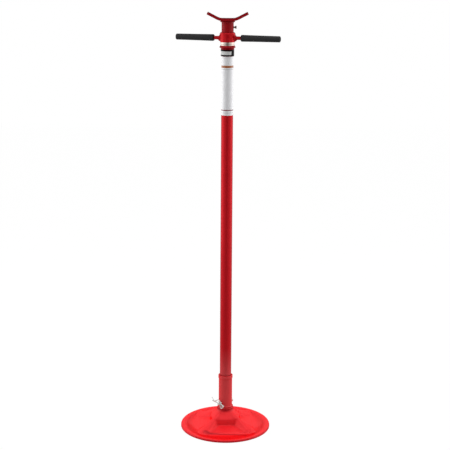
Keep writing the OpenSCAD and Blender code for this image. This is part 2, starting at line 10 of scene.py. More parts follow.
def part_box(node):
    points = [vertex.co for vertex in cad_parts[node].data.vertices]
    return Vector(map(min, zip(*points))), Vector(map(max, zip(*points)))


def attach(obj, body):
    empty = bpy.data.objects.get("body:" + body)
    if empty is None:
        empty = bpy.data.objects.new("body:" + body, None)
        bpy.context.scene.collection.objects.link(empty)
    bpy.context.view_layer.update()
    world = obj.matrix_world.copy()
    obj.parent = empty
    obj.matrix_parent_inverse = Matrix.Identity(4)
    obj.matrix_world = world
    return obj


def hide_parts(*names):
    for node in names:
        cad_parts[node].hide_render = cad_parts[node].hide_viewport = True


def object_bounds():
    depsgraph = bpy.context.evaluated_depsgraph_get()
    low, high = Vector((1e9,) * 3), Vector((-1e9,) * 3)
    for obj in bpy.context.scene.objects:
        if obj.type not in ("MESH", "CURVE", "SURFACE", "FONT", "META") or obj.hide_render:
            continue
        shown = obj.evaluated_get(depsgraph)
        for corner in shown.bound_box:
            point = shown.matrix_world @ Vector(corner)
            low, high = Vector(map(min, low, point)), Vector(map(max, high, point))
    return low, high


bl_info = {
    "name": "Underhoist stand",
    "version": (1, 0, 0),
    "blender": (4, 5, 0),
    "location": "View3D > Sidebar > Stand",
    "description": "Finer pieces, finishes and studio for an underhoist stand",
    "category": "Object",
}

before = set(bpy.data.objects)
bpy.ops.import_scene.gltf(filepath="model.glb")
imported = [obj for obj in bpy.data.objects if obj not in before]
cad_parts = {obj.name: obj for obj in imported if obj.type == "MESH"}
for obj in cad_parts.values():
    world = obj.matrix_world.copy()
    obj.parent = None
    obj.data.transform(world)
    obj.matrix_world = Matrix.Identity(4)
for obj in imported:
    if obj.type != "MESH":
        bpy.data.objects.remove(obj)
cad_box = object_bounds()

MM = 0.001


def size(name, description, default):
    """A length, shown in the sidebar."""
    return FloatProperty(name=name, description=description, default=default, min=0.0, unit="LENGTH")


def number(name, description, default):
    """A plain number, shown in the sidebar."""
    return FloatProperty(name=name, description=description, default=default, min=0.0)


def turn(name, description, degrees):
    """An angle, shown in the sidebar."""
    return FloatProperty(name=name, description=description, default=radians(degrees), subtype="ANGLE")


def colour(name, description, default):
    """A colour, shown in the sidebar."""
    return FloatVectorProperty(
        name=name, description=description, default=default, min=0.0, max=1.0, size=3, subtype="COLOR"
    )


def lengths(name, description, default):
    """A place, or a width and a height, shown in the sidebar."""
    return FloatVectorProperty(
        name=name, description=description, default=default, size=len(default), unit="LENGTH"
    )


class StandSizes(bpy.types.PropertyGroup):
    """Sizes of the pieces that are finer than their CAD nodes."""

    thread_pitch: size("Thread pitch", "Rise of the lifting thread in one turn", 5 * MM)
    thread_depth: size("Thread depth", "From the crest of the lifting thread to its root", 2.4 * MM)
    thread_inset: size("Thread inset", "From the face of the screw in to the thread's crest", 0.03 * MM)
    thread_gap: size("Thread gap", "Plain screw between the thread and the collar or the groove", 4 * MM)
    screw_chamfer: size("Screw chamfer", "Chamfer on the ends of the screw", 2 * MM)
    groove_height: size("Groove height", "Height of the groove that the set bolt stands in", 6.6 * MM)
    groove_depth: size("Groove depth", "Depth of the same groove", 1.4 * MM)
    bolt_width: size("Bolt width", "Diameter of the set bolt's thread", 6 * MM)
    bolt_pitch: size("Bolt pitch", "Rise of the set bolt's thread in one turn", 1 * MM)
    bolt_depth: size("Bolt depth", "From the crest of the set bolt's thread to its root", 0.6 * MM)
    bolt_head: size("Bolt head", "Thickness of the set bolt's head", 4.2 * MM)
    bolt_round: size("Bolt rounding", "Rounding on the edges of the set bolt's head", 0.4 * MM)
    saddle_round: size("Saddle rounding", "Rounding on the edges of the saddle's plate", 0.7 * MM)
    bead: size("Weld bead", "Radius of the weld beads of the saddle and the socket", 1.9 * MM)
    bead_ripple: size("Weld ripple", "Height of the ripples on a weld bead", 0.25 * MM)
    ripple_step: size("Ripple step", "Distance between two ripples of a weld bead", 2.6 * MM)
    saddle_bead_drop: size("Saddle bead drop", "From the sleeve's top down to its bead", 2.6 * MM)
    saddle_bead_inset: size("Saddle bead inset", "From the outside of the sleeve's weld to its bead", 3 * MM)
    socket_bead_rise: size("Socket bead rise", "From the neck up to the socket's bead", 3.2 * MM)
    socket_bead_inset: size("Socket bead inset", "From the outside of its weld to its bead", 1.8 * MM)
    rod_bead: size("Rod bead", "Radius of the weld bead of a rod", 1.7 * MM)
    rod_bead_out: size("Rod bead reach", "From the side of the hub out to a rod's bead", 1.6 * MM)
    rod_bead_gap: size("Rod bead gap", "From the face of a rod out to the middle of its bead", 1.3 * MM)


class StandFinishes(bpy.types.PropertyGroup):
    """Colours of the stand's finishes."""

    red: colour("Red paint", "Gloss paint of the column and the head", (0.64, 0.006, 0.014))
    # Thin red is worn, thin paint, and also painted shade in a crease and under the cap's flange.
    thin_and_shaded_red: colour("Thin red", "The same paint where it is thin or in a bend", (0.28, 0.003, 0.008))
    lacquer: colour("Lacquer", "Tint of the lacquer on the column and the head", (0.90, 0.72, 0.74))
    deep_red: colour("Deep red", "Duller, deeper paint of the saddle and the cap", (0.40, 0.003, 0.010))
    base_red: colour("Base red", "Brighter paint of the base", (0.86, 0.030, 0.039))
    dull_red: colour("Socket red", "Duller paint of the socket and the column's foot", (0.70, 0.078, 0.084))
    # Painted shade: this darker red stands for shade at the base's neck, rim edge and pressed lines.
    base_shade_red: colour("Weld red", "Darker paint at the base's weld, rim and lines", (0.42, 0.007, 0.016))
    base_lacquer: colour("Base lacquer", "Tint of the lacquer on the base and the socket", (1.0, 0.74, 0.75))
    film_black: colour("Black film", "Band round the skirt of the cap", (0.007, 0.004, 0.005))
    panel_grey: colour("Grey panel", "Bare panel on the black band", (0.76, 0.78, 0.77))
    film_white: colour("White film", "Wrap round the column", (0.92, 0.92, 0.94))
    film_smear: colour("Smeared film", "The same wrap where hands have smeared it", (0.55, 0.56, 0.60))
    rule_grey: colour("Grey rules", "Two faint rules across the wrap", (0.22, 0.23, 0.26))
    band_orange: colour("Orange band", "Upper band of the wrap", (0.40, 0.12, 0.025))
    band_maroon: colour("Dark red band", "Lower band of the wrap", (0.20, 0.012, 0.030))
    steel: colour("Bearing steel", "Ground steel of the races", (0.58, 0.48, 0.43))
    ball: colour("Ball steel", "Polished steel of the balls", (0.82, 0.80, 0.78))
    brass: colour("Cage brass", "Brass of the ball cage", (0.72, 0.47, 0.17))
    oil: colour("Oil stain", "Faint oil stains on bare steel and brass", (0.42, 0.31, 0.22))
    rubber: colour("Grip rubber", "Rubber of the grips", (0.045, 0.045, 0.048))
    rubber_dust: colour("Rubber dust", "Dusty bloom on the grips", (0.09, 0.09, 0.092))
    rubber_sheen: colour("Rubber sheen", "Tint of what the grips mirror", (0.55, 0.55, 0.55))
    screw: colour("Screw steel", "Oiled steel of the spindle", (0.42, 0.41, 0.40))
    zinc: colour("Zinc", "Bright zinc plating", (0.54, 0.54, 0.52))
    zinc_bloom: colour("Zinc bloom", "Thin dull bloom on the zinc", (0.36, 0.37, 0.38))
    black_steel: colour("Blackened steel", "Oiled black steel of the set bolt", (0.17, 0.13, 0.12))


class StandStage(bpy.types.PropertyGroup):
    """The camera, the lights, the floor and the surroundings."""

    lens: number("Lens", "Focal length in millimetres", 89.6)
    tilt: turn("Tilt", "Angle of the camera from straight down", 76.75)
    roll: turn("Roll", "Turn of the camera about its own line", 0.339)
    camera: lengths("Camera", "Place of the camera", (-0.0046, -3.560, 1.5368))
    left_place: lengths("Left light", "Middle of the left light", (-2.3, 0.4, 1.1))
    right_place: lengths("Right light", "Middle of the right light", (2.25, 0.5, 1.1))
    top_place: lengths("Top light", "Middle of the light overhead", (0.0, 0.1, 4.2))
    side_spread: lengths("Side light size", "Width and height of the left and the right light", (2.8, 4.2))
    top_spread: lengths("Top light size", "Width and depth of the light overhead", (1.6, 1.6))
    left_power: number("Left power", "Power of the left light in watts", 48.0)
    right_power: number("Right power", "Power of the right light in watts", 42.0)
    top_power: number("Top power", "Power of the light overhead in watts", 24.0)
    floor_width: size("Floor width", "Side of the square floor", 14.0)
    floor_white: number("Floor white", "Strength of the floor's own white, where it shows", 1.04)
    floor_shadow: number("Floor shadow", "Share of the real shadow that the floor shows", 0.07)
    lit_opening: number("Lit opening", "White left behind the camera for what lights the stand", 0.06)
    mirrored_opening: number("Mirrored opening", "White left there for what the stand mirrors", 0.05)


def sizes():
    """The sizes that are set in the sidebar."""
    return bpy.context.scene.stand_sizes


def tones():
    """The colours that are set in the sidebar."""
    return bpy.context.scene.stand_finishes


class Graph:
    """A node tree under construction: each method adds a node and returns its output."""

    def __init__(self, tree):
        self.tree = tree

    def add(self, kind, inputs=None, **settings):
        """A node of that kind, with its inputs linked or set."""
        node = self.tree.nodes.new(kind)
        for name, value in settings.items():
            setattr(node, name, value)
        for name, value in (inputs or {}).items():
            self.feed(node.inputs[name], value)
        return node

    def feed(self, socket, value):
        """Links an output to the socket, or sets the socket to a plain value."""
        if isinstance(value, bpy.types.NodeSocket):
            self.tree.links.new(value, socket)
        elif socket.type == "RGBA":
            socket.default_value = (*value, 1.0)
        else:
            socket.default_value = value

    def math(self, operation, first, second=0.0):
        """A math node."""
        return self.add("ShaderNodeMath", {0: first, 1: second}, operation=operation).outputs[0]

    def plus(self, first, second):
        """The sum of two numbers."""
        return self.math("ADD", first, second)

    def times(self, first, second):
        """The product of two numbers."""
        return self.math("MULTIPLY", first, second)

    def most(self, first, second):
        """The larger of two numbers."""
        return self.math("MAXIMUM", first, second)

    def unsigned(self, value):
        """The number without its sign."""
        return self.math("ABSOLUTE", value)

    def span(self, value, low, high, to_low=0.0, to_high=1.0):
        """The value carried from one span to another, and held at its ends."""
        inputs = {"Value": value, "From Min": low, "From Max": high, "To Min": to_low, "To Max": to_high}
        return self.add("ShaderNodeMapRange", inputs).outputs["Result"]

    def blend(self, share, first, second):
        """The first number turning to the second as the share goes to one."""
        return self.add("ShaderNodeMix", {"Factor": share, "A": first, "B": second}).outputs["Result"]

    def mirror_rays(self):
        """One for mirror and glass rays."""
        ray = self.add("ShaderNodeLightPath").outputs
        return self.most(ray["Is Glossy Ray"], ray["Is Transmission Ray"])

    def camera_rays(self):
        """One for what the camera sees at first hand."""
        return self.add("ShaderNodeLightPath").outputs["Is Camera Ray"]


class Finish(Graph):
    """A material under construction."""

    def __init__(self, name):
        self.material = bpy.data.materials.new(name)
        self.material.use_nodes = True
        super().__init__(self.material.node_tree)
        self.shader = self.tree.nodes["Principled BSDF"]
        self.spot = self.add("ShaderNodeTexCoord").outputs["Object"]

    def give(self, **values):
        """Feeds the shader's sockets; an underscore in a name stands for a space."""
        for name, value in values.items():
            self.feed(self.shader.inputs[name.replace("_", " ")], value)

    def stretched(self, scale):
        """The place on the object, stretched along each axis."""
        return self.add("ShaderNodeMapping", {"Vector": self.spot, "Scale": scale}).outputs["Vector"]

    def noise(self, per_metre, detail=3.0, rough=0.5, spot=None):
        """Even noise with that many features to the metre."""
        inputs = {"Vector": spot or self.spot, "Scale": per_metre, "Detail": detail, "Roughness": rough}
        return self.add("ShaderNodeTexNoise", inputs).outputs["Fac"]

    def streaks(self, scale, detail, rough):
        """Noise drawn out, with a number of features to the metre for each axis."""
        return self.noise(1.0, detail, rough, self.stretched(scale))

    def mix(self, share, first, second):
        """The first colour turning to the second as the share goes to one."""
        node = self.add("ShaderNodeMix", data_type="RGBA")
        self.feed(node.inputs["Factor"], share)
        self.feed([s for s in node.inputs if s.name == "A" and s.type == "RGBA"][0], first)
        self.feed([s for s in node.inputs if s.name == "B" and s.type == "RGBA"][0], second)
        return [s for s in node.outputs if s.type == "RGBA"][0]

    def axes(self):
        """The three coordinates of the place on the object."""
        return self.add("ShaderNodeSeparateXYZ", {"Vector": self.spot}).outputs

    def between(self, value, low, high):
        """One where the value lies between the two, else zero."""
        above = self.math("GREATER_THAN", value, low)
        return self.times(above, self.math("LESS_THAN", value, high))

    def height(self, low, high):
        """A share that rises from zero at the first height to one at the second."""
        return self.span(self.axes()["Z"], low, high)

    def reach(self):
        """How far the place is from the stand's axis."""
        axes = self.axes()
        squares = self.plus(self.math("POWER", axes["X"], 2.0), self.math("POWER", axes["Y"], 2.0))
        return self.math("SQRT", squares)

    def painted_line_shade(self, reach, half_length, width, slant):
        """The share of painted shade along two straight lines, that far before and behind the axis, slanted
        from X.
        """
        axes = self.axes()
        across = self.plus(axes["Y"], self.times(axes["X"], tan(slant)))
        off = self.unsigned(self.math("SUBTRACT", self.unsigned(across), reach))
        line = self.span(off, 0.0, width, 1.0, 0.0)
        return self.times(line, self.span(self.unsigned(axes["X"]), half_length, half_length - width))

    def edges(self, radius):
        """Near one on sharp edges, zero on flat stretches."""
        bevel = self.add("ShaderNodeBevel", {"Radius": radius}, samples=6).outputs["Normal"]
        flat = self.add("ShaderNodeNewGeometry").outputs["Normal"]
        dot = self.add("ShaderNodeVectorMath", {0: bevel, 1: flat}, operation="DOT_PRODUCT").outputs["Value"]
        return self.span(dot, 0.995, 0.90)

    def ao_shade(self, reach):
        """Painted shade from ambient occlusion: near one down in a crease, zero in the open."""
        open_share = self.add("ShaderNodeAmbientOcclusion", {"Distance": reach}, samples=8).outputs["AO"]
        return self.span(open_share, 0.55, 0.95, 1.0, 0.0)

    def bump(self, height, distance):
        """Fine relief from a height."""
        return self.add("ShaderNodeBump", {"Height": height, "Distance": distance}).outputs["Normal"]


def paint(name, coat, thin, lacquer, flake, roughness, peel, zone=None, deepening=0.8):
    """Sprayed paint: slight clouds, thin deep edges, painted crease shade, dust nibs, orange peel and tinted
    lacquer.

    Flake is its share of metal, and peel the height of its orange peel. A zone is a pair: what
    gives its share of the finish, and its colour. The last argument is how far painted shade
    turns the paint to its thin colour down in a crease."""
    finish = Finish(name)
    clouds = finish.span(finish.noise(14.0), 0.35, 0.75, 0.0, 0.16)
    body = finish.mix(clouds, coat, thin)
    if zone:
        share, tone = zone
        body = finish.mix(share(finish), body, tone)
    scuffs = finish.noise(160.0, 4.0, 0.65)
    worn = finish.times(finish.edges(0.8 * MM), finish.span(scuffs, 0.35, 0.6))
    rubbed = finish.mix(finish.times(worn, 0.55), body, thin)
    # Painted shade: the paint turns to its thin colour down in a crease, as ambient occlusion finds it.
    painted_crease_shade = finish.times(finish.ao_shade(9 * MM), deepening)
    finish.give(Base_Color=finish.mix(painted_crease_shade, rubbed, thin))
    finish.give(Roughness=finish.span(scuffs, 0.2, 0.8, roughness, roughness + 0.1))
    finish.give(Metallic=flake, IOR=1.3, Coat_Weight=1.0, Coat_IOR=1.0, Coat_Tint=lacquer)
    waves = finish.noise(520.0, 1.0)
    nibs = finish.span(finish.noise(900.0, 0.0), 0.78, 0.86)
    finish.give(Normal=finish.bump(finish.plus(waves, finish.times(nibs, 1.5)), peel))
    return finish.material


def head_paint(name, coat, **gloss):
    """Paint of the column and the head, which turns to the thin red where worn and as painted shade in a
    crease, under their lacquer.
    """
    return paint(name, coat, tones().thin_and_shaded_red, tones().lacquer, **gloss)


def foot_paint(name, coat, **gloss):
    """Paint of the base and the socket, which turns to the gloss red where worn and as painted shade in a
    crease, under their lacquer.
    """
    return paint(name, coat, tones().red, tones().base_lacquer, **gloss)


def hub_paint():
    """Deep gloss red of the hub."""
    # The hub gets only a little painted crease shade.
    return head_paint(
        "red_gloss_paint", tones().red, flake=0.3, roughness=0.27, peel=0.03 * MM, deepening=0.1
    )


def column_paint():
    """The same red on the column, duller towards the socket."""
    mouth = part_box("base_socket")[1].z
    dull = mouth + 9 * MM
    clear = mouth + 99 * MM
    zone = (lambda finish: finish.height(clear, dull), tones().dull_red)
    return head_paint(
        "red_column_paint", tones().red, flake=0.3, roughness=0.27, peel=0.03 * MM, zone=zone
    )


def saddle_paint():
    """Deeper, duller red of the saddle."""
    return head_paint("red_saddle_paint", tones().deep_red, flake=0.0, roughness=0.40, peel=0.04 * MM)


def cap_paint():
    """The same on the cap, whose foot is black where the film folds over it."""
    black_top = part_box("header_label")[0].z + 0.3 * MM
    blur = 0.1 * MM
    zone = (lambda finish: finish.height(black_top + blur, black_top), tones().film_black)
    return head_paint(
        "red_cap_paint", tones().deep_red, flake=0.0, roughness=0.38, peel=0.03 * MM, zone=zone
    )


def rod_paint():
    """The gloss red on the handle's rods, rubbed a little more."""
    return head_paint("red_rod_paint", tones().red, flake=0.3, roughness=0.34, peel=0.04 * MM)


def base_paint():
    """Brighter red of the stamped base, with painted shade at the top of its neck, on the rim and along its
    pressed lines.
    """
    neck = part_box("base_plate")[1].z

    def painted_shade_share(finish):
        """The share of the painted shade, in a darker red."""
        # Painted shade on the neck's top, the rim's edge and the pressed lines.
        weld = finish.height(neck - 12 * MM, neck - 5 * MM)
        rim = finish.span(finish.reach(), low=146 * MM, high=149 * MM, to_high=0.5)
        line = finish.painted_line_shade(reach=97 * MM, half_length=76 * MM, width=7 * MM, slant=radians(3.5))
        return finish.most(rim, finish.most(weld, finish.times(line, 0.9)))

    zone = (painted_shade_share, tones().base_shade_red)
    return foot_paint(
        "red_base_paint", tones().base_red, flake=0.1, roughness=0.30, peel=0.03 * MM, zone=zone
    )


def socket_paint():
    """Brighter, duller red of the socket tube."""
    return foot_paint("red_socket_paint", tones().dull_red, flake=0.0, roughness=0.42, peel=0.05 * MM)


def header_film():
    """Black film with one bare grey panel, which ends to the right of the front, under bare red darkened as
    painted shade under the flange.
    """
    finish = Finish("black_film_with_panel")
    low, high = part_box("header_label")
    tall = high.z - low.z
    x, y, z = finish.axes()
    heading = finish.math("ARCTAN2", x, finish.times(y, -1.0))
    rows = finish.between(z, low.z + 0.17 * tall, low.z + 0.60 * tall)
    panel = finish.times(rows, finish.between(heading, radians(-118), radians(36)))
    smears = finish.span(finish.noise(120.0, 4.0), 0.35, 0.7, 0.0, 0.14)
    grey = finish.mix(smears, tones().panel_grey, tones().film_black)
    dust = finish.span(finish.noise(300.0, 5.0, 0.7), 0.55, 0.8, 0.0, 0.05)
    black = finish.mix(dust, tones().film_black, tones().panel_grey)
    film = finish.mix(panel, black, grey)
    # Bare skirt paint under the flange, darkened to the thin red as painted shade.
    bare_foot = high.z - 5 * MM
    bare = finish.height(bare_foot, bare_foot + 0.2 * MM)
    finish.give(Base_Color=finish.mix(bare, film, tones().thin_and_shaded_red))
    finish.give(Roughness=finish.span(finish.noise(90.0), 0.3, 0.7, 0.22, 0.36), IOR=1.12)
    finish.give(Normal=finish.bump(finish.noise(60.0, 2.0), 0.05 * MM))
    return finish.material


def wrap_film():
    """White film with a plain orange band, a thin dark red band and two faint grey rules."""
    finish = Finish("white_wrap_film")
    low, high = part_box("label_wrap")
    tall = high.z - low.z
    x, y, z = finish.axes()

    def stripe(foot, top):
        """One between two shares of the wrap's height."""
        return finish.between(z, low.z + foot * tall, low.z + top * tall)

    smears = finish.span(finish.noise(40.0, 4.0), 0.3, 0.75, 0.0, 0.10)
    white = finish.mix(smears, tones().film_white, tones().film_smear)
    rules = finish.times(finish.plus(stripe(0.776, 0.794), stripe(0.040, 0.052)), 0.30)
    ruled = finish.mix(rules, white, tones().rule_grey)
    banded = finish.mix(stripe(0.809, 0.847), ruled, tones().band_orange)
    finish.give(Base_Color=finish.mix(stripe(0.081, 0.098), banded, tones().band_maroon))
    finish.give(Roughness=finish.span(finish.noise(70.0), 0.3, 0.7, 0.26, 0.40), Coat_Weight=0.25)
    seam = finish.between(finish.math("ARCTAN2", x, y), radians(14), radians(40))
    waves = finish.streaks((70.0, 70.0, 16.0), 2.0, 0.5)
    finish.give(Normal=finish.bump(finish.plus(waves, seam), 0.10 * MM))
    return finish.material


def ground_metal(name, tone, roughness, rings_per_metre):
    """Turned and ground metal: fine rings round the axis with faint oil stains."""
    finish = Finish(name)
    rings = finish.streaks((20.0, 20.0, rings_per_metre), 2.0, 0.6)
    stains = finish.span(finish.noise(110.0, 4.0, 0.6), 0.45, 0.75, 0.0, 0.35)
    finish.give(Base_Color=finish.mix(stains, tone, tones().oil), Metallic=1.0)
    finish.give(Roughness=finish.span(rings, 0.3, 0.7, roughness, roughness + 0.14))
    finish.give(Normal=finish.bump(rings, 0.01 * MM))
    return finish.material


def bearing_steel():
    """Ground steel of both races."""
    return ground_metal("race_steel", tones().steel, roughness=0.24, rings_per_metre=1800.0)


def ball_steel():
    """Polished steel of the balls."""
    return ground_metal("ball_steel", tones().ball, roughness=0.07, rings_per_metre=300.0)


def cage_brass():
    """Pressed brass of the cage."""
    return ground_metal("cage_brass", tones().brass, roughness=0.24, rings_per_metre=900.0)


def black_steel():
    """Blackened steel of the set bolt."""
    return ground_metal("black_bolt_steel", tones().black_steel, roughness=0.30, rings_per_metre=900.0)


def screw_steel():
    """Oiled steel of the spindle and its stop."""
    return ground_metal("oiled_screw_steel", tones().screw, roughness=0.26, rings_per_metre=1400.0)


def zinc(name, roughness):
    """Bright zinc: fine spangle with a thin dull bloom."""
    finish = Finish(name)
    spangle = finish.add("ShaderNodeTexVoronoi", {"Vector": finish.spot, "Scale": 900.0})
    cells = finish.add("ShaderNodeSeparateColor", {"Color": spangle.outputs["Color"]}).outputs[0]
    bloom = finish.span(finish.noise(240.0, 4.0, 0.6), 0.45, 0.8, 0.0, 0.4)
    finish.give(Base_Color=finish.mix(bloom, tones().zinc, tones().zinc_bloom), Metallic=1.0)
    finish.give(Roughness=finish.span(cells, 0.0, 1.0, roughness, roughness + 0.12))
    finish.give(Normal=finish.bump(finish.noise(600.0), 0.01 * MM))
    return finish.material


def grip_rubber():
    """Moulded rubber: faint lengthwise flow lines, fine grain and a dusty bloom."""
    finish = Finish("grip_rubber")
    flow = finish.streaks((10.0, 240.0, 240.0), 3.0, 0.6)
    grain = finish.noise(1500.0, 2.0, 0.6)
    bloom = finish.span(finish.noise(60.0, 5.0, 0.65), 0.4, 0.8, 0.0, 0.12)
    finish.give(Base_Color=finish.mix(bloom, tones().rubber, tones().rubber_dust), IOR=1.38)
    finish.give(Roughness=finish.span(flow, 0.3, 0.7, 0.32, 0.48))
    finish.give(Normal=finish.bump(finish.plus(flow, finish.times(grain, 0.5)), 0.06 * MM))
    finish.give(Coat_Weight=1.0, Coat_IOR=1.0, Coat_Tint=tones().rubber_sheen)
    return finish.material


def finish_of(node):
    """The finish that a CAD node already has."""
    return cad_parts[node].material_slots[0].material


def pick(obj=None):
    """Leaves only that object selected and active."""
    bpy.ops.object.select_all(action="DESELECT")
    if obj:
        obj.select_set(True)
        bpy.context.view_layer.objects.active = obj


def dress(obj, material):
    """Puts one material on every slot of an object."""
    if not obj.material_slots:
        obj.data.materials.append(material)
    for place in obj.material_slots:
        place.material = material


def smooth(obj, angle):
    """Smooth shading that keeps edges sharper than the angle, in degrees."""
    pick(obj)
    bpy.ops.object.shade_smooth_by_angle(angle=radians(angle))


def keep(obj, name, body, slot, material, *replaced):
    """Names a finished piece, dresses it, and lets it ride on its body."""
    obj.name = name
    obj.data.name = name
    dress(obj, material)
    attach(obj, body)
    if replaced:
        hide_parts(*replaced)


def join_points(reach):
    """Joins the points of the open mesh that lie nearer to each other than the reach."""
    bpy.ops.mesh.select_all(action="SELECT")
    bpy.ops.mesh.remove_doubles(threshold=reach)


def settle(obj):
    """Joins loose points, turns the faces outwards and puts the origin at the stand's."""
    pick(obj)
    bpy.ops.object.transform_apply(location=True, rotation=True, scale=True)
    bpy.ops.object.mode_set(mode="EDIT")
    join_points(0.005 * MM)
    bpy.ops.mesh.normals_make_consistent(inside=False)
    bpy.ops.object.mode_set(mode="OBJECT")


def rounded(obj, radius, angle):
    """Rounds the edges that are sharper than the angle, in degrees."""
    pick(obj)
    bevel = obj.modifiers.new("round", "BEVEL")
    bevel.width = radius
    bevel.segments = 3
    bevel.angle_limit = radians(angle)
    bpy.ops.object.modifier_apply(modifier=bevel.name)


def skin(node, name, body, slot, loose, angle, edge=0.0):
    """Puts a smooth copy of a CAD node in its place, with its edges rounded if a radius is given.

    Loose is how near to each other the points lie that are joined."""
    copy = bpy.data.objects.new(node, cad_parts[node].data.copy())
    bpy.context.scene.collection.objects.link(copy)
    pick(copy)
    bpy.ops.object.mode_set(mode="EDIT")
    join_points(loose)
    bpy.ops.object.mode_set(mode="OBJECT")
    if edge:
        rounded(copy, edge, angle)
    smooth(copy, angle)
    keep(copy, name, body, slot, finish_of(node), node)


def profile(*points):
    """A line through points, each given by its distance from the axis and its height."""
    reach, height = points[0]
    pick()
    bpy.ops.mesh.primitive_plane_add(size=MM, location=(reach, 0.0, height))
    bpy.ops.object.mode_set(mode="EDIT")
    bpy.ops.mesh.select_all(action="SELECT")
    bpy.ops.mesh.merge(type="CENTER")
    for before, after in zip(points, points[1:]):
        move = (after[0] - before[0], 0.0, after[1] - before[1])
        bpy.ops.mesh.extrude_vertices_move(TRANSFORM_OT_translate={"value": move})
    bpy.ops.object.mode_set(mode="OBJECT")
    bpy.ops.object.transform_apply(location=True, rotation=True, scale=True)
    return bpy.context.object


def turned(line, steps, rise=0.0, turns=1):
    """Sweeps a line round the stand's axis, which makes a lathe form or a thread."""
    pick(line)
    sweep = line.modifiers.new("sweep", "SCREW")
    sweep.screw_offset = rise
    sweep.iterations = turns
    sweep.steps = sweep.render_steps = steps
    bpy.ops.object.modifier_apply(modifier=sweep.name)
    settle(line)
    return line


def thread(root, crest, pitch, foot, turns, steps):
    """A thread's ridge, whose edges stand in the shaft that carries it."""
    inner = root - 0.05 * pitch
    flank = 0.25 * pitch
    line = profile(
        (inner, foot), (crest, foot + flank), (crest, foot + 2 * flank), (inner, foot + 3 * flank)
    )
    return turned(line, steps, pitch, turns)


def joined(first, *others):
    """Joins the others to the first."""
    pick(first)
    for other in others:
        other.select_set(True)
    bpy.ops.object.join()
    return first


def bead(height, ring, radius, place=(0.0, 0.0), aim=(0.0, 0.0, 0.0)):
    """A weld bead: a ring, level unless it is aimed, whose every second section is thinner."""
    ripples = round(2 * pi * ring / sizes().ripple_step)
    sides = 10
    pick()
    bpy.ops.mesh.primitive_torus_add(
        location=(*place, height), rotation=aim, major_radius=ring, minor_radius=radius,
        major_segments=2 * ripples, minor_segments=sides,
    )
    weld = bpy.context.object
    bpy.ops.object.mode_set(mode="EDIT")
    bpy.ops.mesh.select_all(action="DESELECT")
    bpy.ops.object.mode_set(mode="OBJECT")
    for point in weld.data.vertices:
        point.select = (point.index // sides) % 2 == 0
    bpy.ops.object.mode_set(mode="EDIT")
    bpy.ops.transform.shrink_fatten(value=-sizes().bead_ripple)
    bpy.ops.object.mode_set(mode="OBJECT")
    settle(weld)
    smooth(weld, angle=70)
    return weld


class STAND_OT_stage(bpy.types.Operator):
    """Sets the camera, the floor, the lights and the white surroundings"""

    bl_idname = "stand.stage"
    bl_label = "Stage"

    def execute(self, context):
        stage = context.scene.stand_stage
        pick()
        aim = Matrix.Rotation(stage.tilt, 3, "X") @ Matrix.Rotation(stage.roll, 3, "Z")
        bpy.ops.object.camera_add(location=stage.camera, rotation=aim.to_euler())
        camera = context.object
        camera.data.lens = stage.lens
        context.scene.camera = camera
        self.floor(stage)
        self.light("left_light", stage.left_place, stage.side_spread, stage.left_power)
        self.light("right_light", stage.right_place, stage.side_spread, stage.right_power)
        self.light("top_light", stage.top_place, stage.top_spread, stage.top_power)
        self.surroundings(context, stage)
        context.scene.view_settings.view_transform = "Standard"
        return {"FINISHED"}

    def floor(self, stage):
        """A wide floor that shows white and keeps a faint shadow.

        Mirrors see that white only behind the stand and far to its sides."""
        bpy.ops.mesh.primitive_plane_add(size=stage.floor_width, location=(0.0, 0.0, 0.0))
        floor = bpy.context.object
        floor.name = "floor"
        finish = Finish("white_floor")
        grain = finish.span(finish.noise(9.0), 0.3, 0.7, 0.40, 0.44)
        grey = finish.add("ShaderNodeCombineColor", {"Red": grain, "Green": grain, "Blue": grain})
        finish.give(Base_Color=grey.outputs["Color"], Roughness=0.9)
        white = finish.add("ShaderNodeEmission", {"Color": (1.0, 1.0, 1.0), "Strength": stage.floor_white})
        axes = finish.axes()
        behind = finish.span(axes["Y"], low=-0.5, high=0.1)
        beside = finish.span(finish.unsigned(axes["X"]), low=0.4, high=1.6)
        mirrored = finish.times(finish.mirror_rays(), finish.most(behind, beside))
        share = finish.times(finish.most(finish.camera_rays(), mirrored), 1.0 - stage.floor_shadow)
        blend = finish.add("ShaderNodeMixShader", {"Fac": share})
        finish.tree.links.new(finish.shader.outputs["BSDF"], blend.inputs[1])
        finish.tree.links.new(white.outputs["Emission"], blend.inputs[2])
        output = finish.tree.nodes["Material Output"]
        finish.tree.links.new(blend.outputs["Shader"], output.inputs["Surface"])
        dress(floor, finish.material)

    def light(self, name, place, spread, power):
        """A large soft light that faces the stand's axis at its own height, or the stand's top."""
        bpy.ops.object.light_add(type="AREA", location=place)
        light = bpy.context.object
        light.name = name
        light.data.shape = "RECTANGLE"
        light.data.size, light.data.size_y = spread
        light.data.energy = power
        aim = Vector((0.0, 0.0, min(place[2], cad_box[1][2]))) - Vector(place)
        light.rotation_euler = aim.to_track_quat("-Z", "Y").to_euler()

    def surroundings(self, context, stage):
        """White all round, but for a dark opening behind the camera that only the stand sees."""
        world = bpy.data.worlds.new("white_room")
        world.use_nodes = True
        context.scene.world = world
        graph = Graph(world.node_tree)
        towards = graph.add("ShaderNodeTexCoord").outputs["Generated"]
        forward = graph.add("ShaderNodeSeparateXYZ", {"Vector": towards}).outputs["Y"]
        lit = graph.span(forward, low=-0.80, high=-0.55, to_low=stage.lit_opening)
        mirrored = graph.span(forward, low=-0.97, high=-0.82, to_low=stage.mirrored_opening)
        room = graph.blend(graph.mirror_rays(), lit, mirrored)
        background = graph.tree.nodes["Background"]
        graph.feed(background.inputs["Color"], (1.0, 1.0, 1.0))
        graph.feed(background.inputs["Strength"], graph.blend(graph.camera_rays(), room, 1.0))


